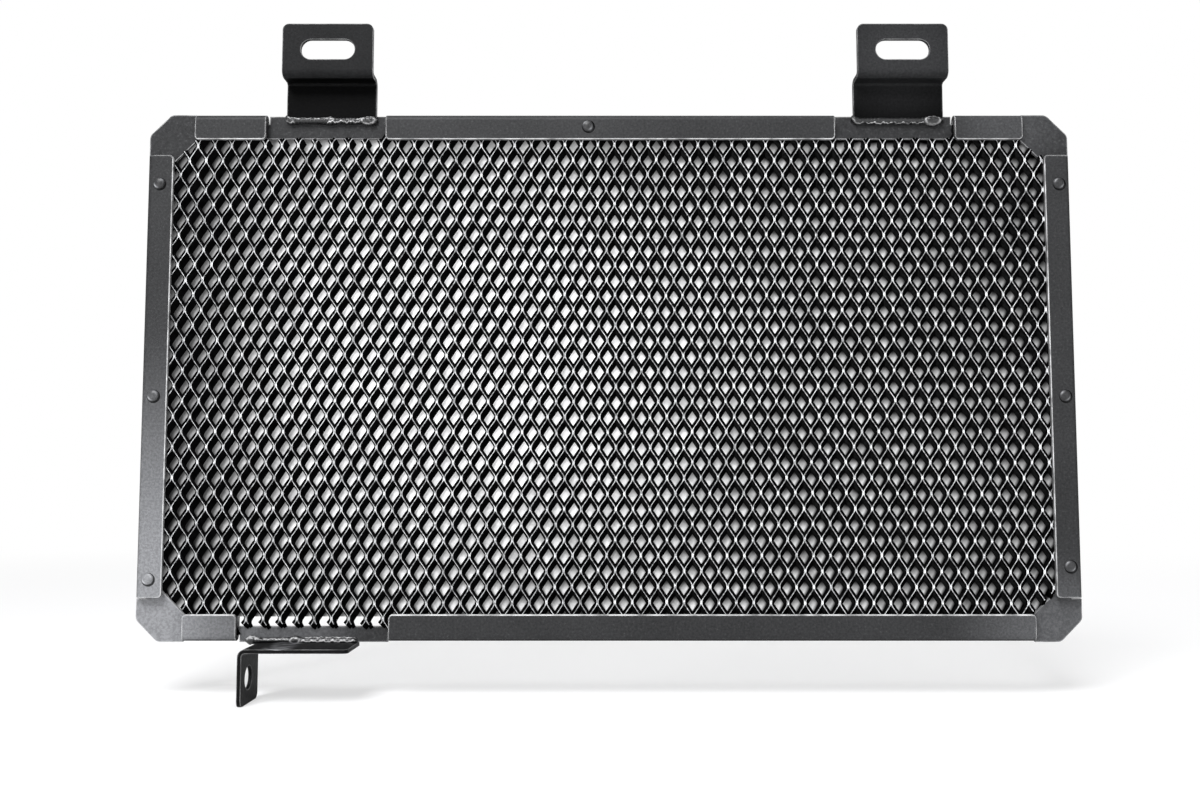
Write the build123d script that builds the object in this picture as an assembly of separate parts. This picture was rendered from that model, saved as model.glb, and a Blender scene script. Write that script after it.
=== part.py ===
from build123d import *
import os

# Radiator guard for a motorcycle, in millimetres. X runs to the right as seen from behind the guard,
# Y towards the front wheel and Z up. The origin lies midway between the two upper slots, on the rear
# face of their plates, which is the face that is bolted on.

# Folded sheet frame
frame_width = 350.0
frame_height = 198.2
frame_sheet = 1.2
frame_shift = 2.4           # the slots' middle lies this far to the right of the frame's middle
hem_reach = 9.8             # outer edge of the fold to the hem's free edge
hem_corner_round = 1.6
flange_width = 8.8          # outer edge of the ring to its window
corner_proud = 0.6          # ring beyond the folds, at its corners and over the lower bracket
outer_chamfer = 8.1
outer_chamfer_round = 3.0
window_chamfer = 9.2
side_hem_inset = 15.8       # ends of the side hems, from the frame's top and bottom edges
long_hem_inset = 17.5       # outer ends of the top and bottom hems, from the frame's side edges
relief_width = 0.5          # slits beside the folds
relief_depth = 0.8          # slits, beyond the fold
edge_round = 0.3            # sheared edges of the hems

# Expanded mesh panel
mesh_depth = 2.0            # height of the raised mesh, which is also the gap inside the hems
mesh_fold_gap = 0.4         # panel edge to the start of the folds
mesh_lap = 0.7              # panel over the ring at the corners and at the weld lands
mesh_rim = 1.0              # least metal left outside the outermost openings
cell_width = 11.6
cell_height = 21.3
strand_width = 3.4
least_opening = 0.15        # smallest piece of an opening at the panel's edge, as a share of a whole one

# Upper brackets
bracket_sheet = 1.5
bracket_width = 34.2
bend_radius = 1.2           # inside of every bend
joggle = 8.0                # rear face of the plate to rear face of the web
plate_top_margin = 9.9      # above the slot's middle
plate_corner_round = 2.4
slot_spacing = 216.5
slot_length = 20.3
slot_width = 7.7
slot_rise = 22.8            # slot's middle above the frame's top edge
ledge_rise = 12.5           # underside of the ledge above the frame's top edge
web_lap = 2.0               # web over the ring
land_before_bracket = 7.4   # bare ring on the left of each upper bracket
land_after_bracket = 3.8    # bare ring on the right of each upper bracket

# Lower bracket
strip_inset = 43.3          # bracket's left face from the frame's left edge
strip_length = 39.0
strip_depth = 19.7
strip_corner_round = 2.0
tab_drop = 21.0             # below the frame's bottom edge
tab_corner_round = 2.4
tab_hole_diameter = 8.6
tab_hole_setback = 10.9     # hole's middle behind the ring's front face
tab_hole_drop = 11.8        # hole's middle below the frame's bottom edge
lower_land_width = 5.2      # ring's flange at the lower bracket
lower_land_before = 5.7
lower_land_after = 11.3

# Weld beads
weld_leg = 2.0
weld_bulge = 0.35           # arc's height over the straight line between the bead's legs
weld_end_gap = 1.0          # bead's ends inside the ends of the bracket

# Rivets
rivet_shank_diameter = 2.0
rivet_head_diameter = 3.4
rivet_rear_height = 0.8
rivet_front_height = 0.5
rivet_clearance = 0.05      # round the shank
rivet_inset = 4.6           # from the frame's outer edge
rivet_from_top = 26.8
rivet_below_middle = 8.4
left_rivet_from_bottom = 22.8
right_rivet_from_bottom = 27.5
top_rivet_offset = -8.0     # from the frame's middle

# Planes and edges that several pieces share
web_front = joggle + bracket_sheet
ring_rear = web_front
ring_front = ring_rear + frame_sheet
mesh_rear = ring_rear - mesh_depth
hem_rear = mesh_rear - frame_sheet
fold_radius = (ring_front - hem_rear) / 2
fold_middle = (ring_front + hem_rear) / 2
rivet_hole_radius = rivet_shank_diameter / 2 + rivet_clearance

frame_middle = -frame_shift
frame_left = frame_middle - frame_width / 2
frame_right = frame_middle + frame_width / 2
frame_top = -slot_rise
frame_bottom = frame_top - frame_height
strip_top = frame_bottom - corner_proud

bracket_middles = (-slot_spacing / 2, slot_spacing / 2)
strip_left = frame_left + strip_inset
strip_right = strip_left + strip_length
web_bottom = frame_top - web_lap

upper_lands = [
    (x - bracket_width / 2 - land_before_bracket, x + bracket_width / 2 + land_after_bracket)
    for x in bracket_middles
]
lower_land = (strip_left - lower_land_before, strip_right + lower_land_after)


def sheet(outline, y_low, thickness):
    # A flat outline drawn in X and Z, made solid from y_low towards the front.
    return extrude(Plane.XZ.offset(-y_low) * outline, amount=thickness, dir=(0, 1, 0))


def rectangle(left, low, right, high):
    middle = Pos((left + right) / 2, (low + high) / 2)
    return middle * Rectangle(right - left, high - low)


def chamfered_rectangle(inset, chamfer):
    # The frame's rectangle drawn in by inset, with its corners cut off at 45 degrees.
    x = frame_width / 2 - inset
    z = frame_height / 2 - inset
    corners = [
        (-x, z - chamfer), (-x + chamfer, z), (x - chamfer, z), (x, z - chamfer),
        (x, -z + chamfer), (x - chamfer, -z), (-x + chamfer, -z), (-x, -z + chamfer),
    ]
    middle = Pos(frame_middle, (frame_top + frame_bottom) / 2)
    return middle * make_face(Polyline(*corners, close=True))


def hem_seats():
    # Each hem's start on the frame's outer edge, its inward and running directions, and its length.
    left_end = frame_left + long_hem_inset
    right_end = frame_right - long_hem_inset
    top_breaks = [left_end, *upper_lands[0], *upper_lands[1], right_end]
    bottom_breaks = [left_end, *lower_land, right_end]
    seats = []
    for start, end in zip(top_breaks[::2], top_breaks[1::2]):
        seats.append(((start, 0, frame_top), (0, 0, -1), (1, 0, 0), end - start))
    for start, end in zip(bottom_breaks[::2], bottom_breaks[1::2]):
        seats.append(((end, 0, frame_bottom), (0, 0, 1), (-1, 0, 0), end - start))
    side_length = frame_height - 2 * side_hem_inset
    low = frame_bottom + side_hem_inset
    high = frame_top - side_hem_inset
    seats.append(((frame_left, 0, low), (1, 0, 0), (0, 0, 1), side_length))
    seats.append(((frame_right, 0, high), (-1, 0, 0), (0, 0, -1), side_length))
    return seats


def hem(start, inward, along, length):
    # Half-round fold and the flat hem behind it, with rounded free corners and softened rear edges.
    outline = [
        Line((hem_reach, hem_rear), (fold_radius, hem_rear)),
        ThreePointArc((fold_radius, hem_rear), (0, fold_middle), (fold_radius, ring_front)),
        Line((fold_radius, ring_front), (fold_radius, ring_rear)),
        ThreePointArc((fold_radius, ring_rear), (frame_sheet, fold_middle), (fold_radius, mesh_rear)),
        Line((fold_radius, mesh_rear), (hem_reach, mesh_rear)),
        Line((hem_reach, mesh_rear), (hem_reach, hem_rear)),
    ]
    seat = Plane(origin=start, x_dir=inward, z_dir=along)
    solid = extrude(seat * make_face(outline), amount=length)
    free_corners = solid.edges().filter_by(Axis.Y).sort_by(Axis(start, inward))[-2:]
    solid = fillet(free_corners, hem_corner_round)
    rear_face = solid.faces().sort_by(Axis.Y)[0]
    seam = rear_face.edges().sort_by(Axis(start, inward))[0]
    rear_edges = [edge for edge in rear_face.edges() if edge != seam]
    return fillet(rear_edges, edge_round)


def fold_room(start, inward, along, length):
    # What a hem takes from the ring: the folded margin, and a slit at each end of it.
    seat = Plane(origin=start, x_dir=inward, z_dir=along)
    margin = rectangle(-corner_proud, hem_rear, fold_radius, ring_front)
    slit = rectangle(-corner_proud, hem_rear, fold_radius + relief_depth, ring_front)
    room = extrude(seat * margin, amount=length)
    room += extrude(seat.offset(-relief_width) * slit, amount=relief_width)
    room += extrude(seat.offset(length) * slit, amount=relief_width)
    return room


def window():
    # The ring's opening, which is deeper over the lower bracket's land.
    opening = chamfered_rectangle(flange_width, window_chamfer)
    low = frame_bottom + lower_land_width
    return opening + rectangle(lower_land[0], low, lower_land[1], frame_bottom + flange_width)


def rivet_places():
    x_left = frame_left + rivet_inset
    x_right = frame_right - rivet_inset
    z_high = frame_top - rivet_from_top
    z_middle = (frame_top + frame_bottom) / 2 - rivet_below_middle
    return [
        (x_left, z_high), (x_left, z_middle), (x_left, frame_bottom + left_rivet_from_bottom),
        (x_right, z_high), (x_right, z_middle), (x_right, frame_bottom + right_rivet_from_bottom),
        (frame_middle + top_rivet_offset, frame_top - rivet_inset),
    ]


def rivet_holes():
    hole = Circle(rivet_hole_radius)
    return [Pos(x, z) * hole for x, z in rivet_places()]


def ring():
    # The flat ring stands a little proud of the folds, except at the upper brackets' lands.
    blank = chamfered_rectangle(-corner_proud, outer_chamfer)
    blank = fillet(blank.vertices(), outer_chamfer_round)
    for left, right in upper_lands:
        blank -= rectangle(left, frame_top, right, frame_top + corner_proud)
    return sheet(blank - window(), ring_rear, frame_sheet)


def folded_frame():
    frame = ring()
    for seat in hem_seats():
        frame -= fold_room(*seat)
    for seat in hem_seats():
        frame += hem(*seat)
    for hole in rivet_holes():
        frame -= sheet(hole, hem_rear, ring_front - hem_rear)
    return frame


def mesh_area(edge_inset, rim):
    # The panel drawn in from the folds, and by rim from the ring's corners and weld lands.
    lap = mesh_lap - rim
    window_diagonal = 2 * flange_width + window_chamfer
    area = chamfered_rectangle(edge_inset, window_diagonal - 2 * edge_inset - lap * 2 ** 0.5)
    for left, right in upper_lands:
        area -= rectangle(left - rim, frame_top - flange_width + lap, right + rim, frame_top)
    low = frame_bottom + lower_land_width - lap
    return area - rectangle(lower_land[0] - rim, frame_bottom, lower_land[1] + rim, low)


def mesh_openings():
    # Rows of upright diamonds, every second row half a cell over, cut off short of the rivets.
    half_diagonal = (cell_width ** 2 + cell_height ** 2) ** 0.5 / 2
    share = 1 - strand_width * half_diagonal / (cell_width * cell_height / 2)
    half_x = cell_width / 2 * share
    half_z = cell_height / 2 * share
    diamond = make_face(Polyline((-half_x, 0), (0, half_z), (half_x, 0), (0, -half_z), close=True))
    area = mesh_area(rivet_inset + rivet_hole_radius + mesh_rim, mesh_rim).face()
    rows = int(frame_height / cell_height)
    columns = int(frame_width / cell_width / 2) + 1
    middle_z = (frame_top + frame_bottom) / 2
    openings = []
    for row in range(-rows, rows + 1):
        for column in range(-columns, columns + 1):
            x = frame_middle + (column + row % 2 / 2) * cell_width
            z = middle_z + row * cell_height / 2
            tips = [(x - half_x, z), (x + half_x, z), (x, z - half_z), (x, z + half_z)]
            inside = [area.is_inside((tip_x, tip_z, 0)) for tip_x, tip_z in tips]
            opening = Pos(x, z) * diamond
            if all(inside):
                openings.append(opening.face())
            elif any(inside):
                openings += (opening & area).faces()
    return [opening for opening in openings if opening.area > least_opening * diamond.area]


def expanded_mesh():
    panel = mesh_area(fold_radius + mesh_fold_gap, 0)
    for hole in rivet_holes():
        panel -= hole
    holes = panel.face().inner_wires() + [opening.outer_wire() for opening in mesh_openings()]
    return sheet(Face(panel.face().outer_wire(), holes), mesh_rear, mesh_depth)


def upper_bracket(middle_x):
    top = plate_top_margin
    ledge_low = frame_top + ledge_rise
    ledge_high = ledge_low + bracket_sheet
    outer_bend = bend_radius + bracket_sheet
    rear_line = [(0, top), (0, ledge_low), (joggle, ledge_low), (joggle, web_bottom)]
    front_line = [
        (bracket_sheet, top), (bracket_sheet, ledge_high), (web_front, ledge_high), (web_front, web_bottom),
    ]
    section = make_face([
        FilletPolyline(*rear_line, radius=[outer_bend, bend_radius]),
        Line(rear_line[-1], front_line[-1]),
        FilletPolyline(*front_line, radius=[bend_radius, outer_bend]),
        Line(front_line[0], rear_line[0]),
    ])
    strip = extrude(Plane.YZ.offset(middle_x - bracket_width / 2) * section, amount=bracket_width)
    top_corners = strip.edges().filter_by(Axis.Y).sort_by(Axis.Z)[-2:]
    strip = fillet(top_corners, plate_corner_round)
    slot = Pos(middle_x, 0) * SlotOverall(slot_length, slot_width)
    return strip - sheet(slot, 0, bracket_sheet)


def lower_bracket():
    strip_low = strip_top - bracket_sheet
    tab_bottom = frame_bottom - tab_drop
    tab_inside = strip_left + bracket_sheet
    top_line = [(strip_right, strip_top), (strip_left, strip_top), (strip_left, tab_bottom)]
    under_line = [(strip_right, strip_low), (tab_inside, strip_low), (tab_inside, tab_bottom)]
    section = make_face([
        FilletPolyline(*top_line, radius=bend_radius + bracket_sheet),
        Line(top_line[-1], under_line[-1]),
        FilletPolyline(*under_line, radius=bend_radius),
        Line(under_line[0], top_line[0]),
    ])
    strip = sheet(section, ring_front - strip_depth, strip_depth)
    strip_corner = strip.edges().filter_by(Axis.Z).group_by(Axis.X)[-1].sort_by(Axis.Y)[0]
    strip = fillet(strip_corner, strip_corner_round)
    tab_corners = strip.edges().filter_by(Axis.X).group_by(Axis.Z)[0]
    strip = fillet(tab_corners, tab_corner_round)
    hole_y = ring_front - tab_hole_setback
    hole_z = frame_bottom - tab_hole_drop
    hole = Plane.YZ.offset(strip_left) * Pos(hole_y, hole_z) * Circle(tab_hole_diameter / 2)
    return strip - extrude(hole, amount=bracket_sheet)


def weld_bead(corner_y, corner_z, leg_y, leg_z, x_low, x_high):
    # A bead in the corner of two sheets that meet along X. Its legs run along Y and Z from the corner.
    corner = Vector(corner_y, corner_z)
    toe_y = corner + Vector(leg_y, 0)
    toe_z = corner + Vector(0, leg_z)
    chord = toe_z - toe_y
    outward = Vector(leg_y, leg_z) * (weld_bulge / chord.length)
    section = make_face([
        Line(corner, toe_y),
        ThreePointArc(toe_y, (toe_y + toe_z) / 2 + outward, toe_z),
        Line(toe_z, corner),
    ])
    return extrude(Plane.YZ.offset(x_low) * section, amount=x_high - x_low)


def upper_weld(middle_x):
    x_low = middle_x - bracket_width / 2 + weld_end_gap
    x_high = middle_x + bracket_width / 2 - weld_end_gap
    return weld_bead(ring_rear, web_bottom, -bracket_sheet, -weld_leg, x_low, x_high)


def lower_weld():
    bend_end = strip_left + bracket_sheet + bend_radius
    return weld_bead(ring_rear, strip_top, -weld_leg, weld_leg, bend_end, strip_right - weld_end_gap)


def rivet():
    # Drawn with its shank along Y: a tall dome on the rear hem and a low dome on the front ring.
    shank = rivet_shank_diameter / 2
    head = rivet_head_diameter / 2
    rear_top = hem_rear - rivet_rear_height
    front_top = ring_front + rivet_front_height
    section = make_face([
        TangentArc((0, rear_top), (head, hem_rear), tangent=(1, 0)),
        Line((head, hem_rear), (shank, hem_rear)),
        Line((shank, hem_rear), (shank, ring_front)),
        Line((shank, ring_front), (head, ring_front)),
        TangentArc((0, front_top), (head, ring_front), tangent=(1, 0)),
        Line((0, front_top), (0, rear_top)),
    ])
    return revolve(section, Axis.Y)


def rivets():
    one = rivet()
    return Compound(children=[Pos(x, 0, z) * one for x, z in rivet_places()])


nodes = {
    "folded_frame": folded_frame(),
    "expanded_mesh": expanded_mesh(),
    "upper_left_bracket": upper_bracket(bracket_middles[0]),
    "upper_right_bracket": upper_bracket(bracket_middles[1]),
    "lower_bracket": lower_bracket(),
    "upper_left_weld": upper_weld(bracket_middles[0]),
    "upper_right_weld": upper_weld(bracket_middles[1]),
    "lower_weld": lower_weld(),
    "rivets": rivets(),
}

os.makedirs("parts", exist_ok=True)
for name, shape in nodes.items():
    export_step(shape, f"parts/{name}.step")
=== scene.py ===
import math

import bpy
import numpy as np
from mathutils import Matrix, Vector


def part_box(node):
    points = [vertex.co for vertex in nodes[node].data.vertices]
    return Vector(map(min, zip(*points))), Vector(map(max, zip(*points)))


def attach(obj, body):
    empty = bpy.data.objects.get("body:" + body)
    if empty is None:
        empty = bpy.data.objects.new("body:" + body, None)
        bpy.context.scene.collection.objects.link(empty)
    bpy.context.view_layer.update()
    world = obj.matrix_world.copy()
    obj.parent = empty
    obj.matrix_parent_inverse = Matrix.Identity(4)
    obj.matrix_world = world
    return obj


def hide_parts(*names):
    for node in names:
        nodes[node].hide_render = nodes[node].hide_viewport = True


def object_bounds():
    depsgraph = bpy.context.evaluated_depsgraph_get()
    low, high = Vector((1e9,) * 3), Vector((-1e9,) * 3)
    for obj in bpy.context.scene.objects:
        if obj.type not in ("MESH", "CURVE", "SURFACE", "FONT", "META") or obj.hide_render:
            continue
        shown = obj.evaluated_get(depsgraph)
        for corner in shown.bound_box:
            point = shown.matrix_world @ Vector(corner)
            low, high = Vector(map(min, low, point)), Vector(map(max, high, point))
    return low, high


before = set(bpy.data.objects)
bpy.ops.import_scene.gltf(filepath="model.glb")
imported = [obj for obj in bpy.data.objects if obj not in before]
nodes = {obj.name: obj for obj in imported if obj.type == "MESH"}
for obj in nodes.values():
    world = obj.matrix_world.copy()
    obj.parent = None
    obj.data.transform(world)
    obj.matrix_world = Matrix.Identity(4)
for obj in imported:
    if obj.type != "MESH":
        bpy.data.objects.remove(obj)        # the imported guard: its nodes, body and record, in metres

cadLow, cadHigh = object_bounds()
mm = 0.001
scene = bpy.context.scene
scene.view_settings.view_transform = "Standard"


def nodeBox(name):
    # Lowest and highest corner of a node, in millimetres.
    low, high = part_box(name)
    return np.array(low) / mm, np.array(high) / mm


frameLow, frameHigh = nodeBox("folded_frame")
panelLow, panelHigh = nodeBox("expanded_mesh")
leftLow, leftHigh = nodeBox("upper_left_bracket")
rightLow, rightHigh = nodeBox("upper_right_bracket")
stripLow, stripHigh = nodeBox("lower_bracket")
print("frame loaded:", len(nodes), "nodes")


# Shader writing

class Wire:
    # A socket of a node tree; arithmetic between wires and numbers adds Math nodes.

    def __init__(self, tree, socket=None):
        self.tree = tree
        self.socket = socket

    def add(self, kind, settings=None, sockets=None, out=0):
        # Any node: its settings come first, then the values or links of its sockets.
        node = self.tree.nodes.new(kind)
        for key, value in (settings or {}).items():
            setattr(node, key, value)
        for key, value in (sockets or {}).items():
            if isinstance(value, Wire):
                self.tree.links.new(value.socket, node.inputs[key])
            else:
                node.inputs[key].default_value = value
        return Wire(self.tree, node.outputs[out])

    def maths(self, operation, first, second=0.0):
        return self.add("ShaderNodeMath", {"operation": operation}, {0: first, 1: second})

    def __add__(self, other):
        return self.maths("ADD", self, other)

    def __radd__(self, other):
        return self.maths("ADD", other, self)

    def __sub__(self, other):
        return self.maths("SUBTRACT", self, other)

    def __rsub__(self, other):
        return self.maths("SUBTRACT", other, self)

    def __mul__(self, other):
        return self.maths("MULTIPLY", self, other)

    def __rmul__(self, other):
        return self.maths("MULTIPLY", other, self)

    def span(self, low, high, newLow=0.0, newHigh=1.0):
        # Smooth step from newLow to newHigh as the wire goes from low to high.
        sockets = {0: self, 1: low, 2: high, 3: newLow, 4: newHigh}
        return self.add("ShaderNodeMapRange", {"interpolation_type": "SMOOTHSTEP"}, sockets)

    def vectors(self, operation, first, second=(0.0, 0.0, 0.0), out=0):
        return self.add("ShaderNodeVectorMath", {"operation": operation}, {0: first, 1: second}, out)

    def blend(self, first, second):
        # Mix of two colours, with this wire as the share of the second.
        sockets = {0: self, 6: first, 7: second}
        return self.add("ShaderNodeMix", {"data_type": "RGBA"}, sockets, out=2)


coolCast = (0.985, 1.04)    # red and blue of the black coats, beside green
edgeSet = {"samples": 6, "gain": 9.0, "shown": (0.02, 0.6)}    # worn edges, by the turn of the normal


def grey(level, warmth=0.0):
    # A near-neutral colour; warmth above 0 leans to red, below 0 to blue.
    return (level * (1 + warmth), level, level * (1 - warmth), 1.0)


def coolGrey(wire, tone):
    # A dark grey with a cool cast, as bright as tone.
    red, blue = coolCast
    return wire.add("ShaderNodeCombineColor", None, {0: tone * red, 1: tone, 2: tone * blue})


def startMaterial(name):
    material = bpy.data.materials.new(name)
    material.use_nodes = True
    tree = material.node_tree
    tree.nodes.clear()
    output = tree.nodes.new("ShaderNodeOutputMaterial")
    shader = tree.nodes.new("ShaderNodeBsdfPrincipled")
    tree.links.new(shader.outputs[0], output.inputs[0])
    return material, Wire(tree), shader


def feed(wire, shader, name):
    wire.tree.links.new(wire.socket, shader.inputs[name])


def objectPlace(wire):
    return wire.add("ShaderNodeTexCoord", out="Object")


def axisOf(wire, place, axis):
    return wire.add("ShaderNodeSeparateXYZ", None, {0: place}, out=axis)


def paintedHighlightOf(wire):
    # Painted highlights and sheen that a piece's own mesh carries.
    return wire.add("ShaderNodeAttribute", {"attribute_name": "rim"}, out="Fac")


def noiseOn(wire, place, size, detail=3.0, roughness=0.6):
    # Noise whose lumps are about size millimetres across.
    sockets = {"Vector": place, "Scale": 1 / (size * mm), "Detail": detail, "Roughness": roughness}
    return wire.add("ShaderNodeTexNoise", None, sockets)


def farFrom(wire, place, middle, steep):
    # Distance in metres from a point in millimetres, with each axis weighed by steep.
    offset = wire.vectors("SUBTRACT", place, [v * mm for v in middle])
    return wire.vectors("LENGTH", wire.vectors("MULTIPLY", offset, steep), out="Value")


def feedBump(wire, shader, strength, depth, height):
    sockets = {"Strength": strength, "Distance": depth * mm, "Height": height}
    feed(wire.add("ShaderNodeBump", None, sockets), shader, "Normal")


def edgeMask(wire, reach):
    # 1 on sharp edges and 0 on flats: how far the rounded normal turns from the true one.
    rounded = wire.add("ShaderNodeBevel", {"samples": edgeSet["samples"]}, {"Radius": reach * mm})
    true = wire.add("ShaderNodeNewGeometry", out="True Normal")
    along = wire.vectors("DOT_PRODUCT", rounded, true, out="Value")
    return ((1 - along) * edgeSet["gain"]).span(*edgeSet["shown"])


# Camera

cameraSet = {
    "place": (-5.73, -403.45, -161.75),   # mm
    "tiltUp": 4.16,                       # degrees
    "lens": 33.0,
    "sensor": 36.0,
    "nearest": 0.01,                      # metres
}


def buildCamera(look):
    data = bpy.data.cameras.new("camera")
    data.lens = look["lens"]
    data.sensor_width = look["sensor"]
    data.clip_start = look["nearest"]
    camera = bpy.data.objects.new("camera", data)
    camera.location = [v * mm for v in look["place"]]
    camera.rotation_euler = (math.radians(90 + look["tiltUp"]), 0, 0)
    scene.collection.objects.link(camera)
    scene.camera = camera


buildCamera(cameraSet)
print("camera placed")


# Finishes

coatLooks = {
    "frameCoat": {
        "base": 0.024, "mottle": 0.32, "gloss": 0.27, "roughness": 0.50, "bump": 0.4, "speck": 0.12,
        "edge": 0.9, "edgeReach": 0.8, "specular": 0.05, "hems": True, "paintedSheen": True,
    },
    "bracketCoat": {
        "base": 0.013, "mottle": 0.25, "gloss": 0.045, "roughness": 0.50, "bump": 0.3, "speck": 0.0,
        "edge": 0.30, "edgeReach": 0.6, "specular": 0.03, "paintedSheen": True,
        "matt": {"beyond": 2.5, "tone": 0.12, "gloss": 0.2},      # depth from which the strip is duller and painted darker as shade
    },
    "tabCoat": {
        "base": 0.003, "mottle": 0.35, "gloss": 0.035, "roughness": 0.46, "bump": 0.3, "speck": 0.1,
        "edge": 0.30, "edgeReach": 0.5, "specular": 0.05,
        "streak": {"along": (-127.0, -114.0), "fade": 4.0, "skin": 0.3, "tone": 0.22,
                   "stretch": 0.18, "size": 1.0, "shown": (0.5, 0.62)},
    },
    "rivetCoat": {
        "base": 0.024, "mottle": 0.20, "gloss": 0.55, "roughness": 0.40, "bump": 0.15, "speck": 0.0,
        "edge": 0.0, "edgeReach": 0.3, "specular": 0.05, "paintedSheen": True,
        # painted shadow on the rivet's skirt, and painted glints on its dome
        "skirtShadow": {"rear": (-0.08, -0.04), "front": (0.0, 0.3), "share": 0.85, "glint": 0.36},
    },
}
coatSet = {    # shared by the coats, sizes in mm
    "grain": 0.7, "peel": 1.6, "cloud": 26.0, "fine": 0.9,
    "cloudTone": (0.75, 0.5), "cloudGloss": (0.7, 0.6),       # at no cloud, and what a full cloud adds
    "peelRough": 0.20, "cloudRough": 0.10,
    "speckShown": (0.66, 0.74), "speckTone": 0.16,
    "mottleShown": (0.3, 0.7), "mottleRough": 0.7,
    "sheenUneven": (0.82, 1.18),                                     # how unevenly a painted sheen patch lies
    "rubbedSize": 7.0, "rubbed": (0.3, 0.65, 0.25, 1.0), "rubbedTone": 0.72,
    "bumpDepth": 0.4,
}
hemSet = {
    "proud": 0.6,                         # ring beyond the folds
    "band": (9.35, 9.55),                 # bright free edge, from the folds
    "rear": 7.6,                          # depth between the hems and the ring
    "ringGloss": 0.75, "ringWear": 0.5,   # beside the hems'
    "turned": (0.60, 0.82, 1.0, 0.3),     # painted shade, darker as a face turns to the side or down
}
sheenCore = 8.0    # mm, full middle of a painted sheen patch
sheenPatchSet = [       # patches of painted sheen, paler: middle, how steep along X and Z, reach, tone
    {"middle": (-172.0, 8.5, -216.0), "steep": (2.6, 0.0, 1.0), "reach": 118.0, "tone": 0.192},
    {"middle": (168.0, 8.5, -218.0), "steep": (1.0, 0.0, 1.6), "reach": 52.0, "tone": 0.055},
    {"middle": (152.0, 8.5, -26.0), "steep": (1.4, 0.0, 2.0), "reach": 40.0, "tone": 0.022},
    {"middle": (-122.0, 8.5, -217.0), "steep": (1.0, 0.0, 3.0), "reach": 34.0, "tone": 0.065},
    {"middle": (108.0, 0.0, -2.0), "steep": (1.0, 0.0, 1.3), "reach": 34.0, "tone": 0.014},
]


def hemBrightEdges(wire, place, edge, onHem):
    # Bright free edges of the hems, by the distance from the frame's outer edge, and less on the ring.
    low, high = (frameLow + hemSet["proud"]) * mm, (frameHigh - hemSet["proud"]) * mm
    x, z = axisOf(wire, place, 0), axisOf(wire, place, 2)
    sides = wire.maths("MINIMUM", x - low[0], high[0] - x)
    ends = wire.maths("MINIMUM", z - low[2], high[2] - z)
    inward = wire.maths("MINIMUM", sides, ends)
    bandLow, bandHigh = hemSet["band"]
    band = inward.span(bandLow * mm, bandHigh * mm) * onHem
    onRing = hemSet["ringWear"]
    return wire.maths("MAXIMUM", edge * (onRing + (1 - onRing) * onHem), band)


def sideShadeShare(wire):
    # 1 on most faces, less on the outer sides and underneath: painted shade there, with less gloss and less
    # rubbing.
    normal = wire.add("ShaderNodeNewGeometry", out="True Normal")
    sideways = wire.maths("ABSOLUTE", axisOf(wire, normal, 0))
    return wire.maths("MAXIMUM", sideways, 0 - axisOf(wire, normal, 2)).span(*hemSet["turned"])


def ledgeTopHighlight(wire, place, look):
    # Drawn-out pale streaks on the top face of the lower bracket's ledge: a painted highlight.
    x = axisOf(wire, place, 0)
    scale = (look["stretch"], 1.0, 1.0)
    stretched = wire.add("ShaderNodeMapping", None, {"Vector": place, "Scale": scale})
    smear = noiseOn(wire, stretched, look["size"], 2.0).span(*look["shown"])
    low, high = (v * mm for v in look["along"])
    fade = look["fade"] * mm
    near = x.span(low, low + fade) * x.span(high - fade, high, 1.0, 0.0)
    onTop = wire.maths("GREATER_THAN", axisOf(wire, place, 2), (stripHigh[2] - look["skin"]) * mm)
    return look["tone"] * smear * near * onTop


def skirtShadowOn(wire, place, look):
    # Share of painted shadow on a rivet by its depth: on the skirt, gone on the dome and on the shank.
    depth = axisOf(wire, place, 1)
    rearLow, rearHigh = ((frameLow[1] + v) * mm for v in look["rear"])
    frontLow, frontHigh = ((frameLow[1] + v) * mm for v in look["front"])
    return depth.span(rearLow, rearHigh) * depth.span(frontLow, frontHigh, look["share"], 0.0)


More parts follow.
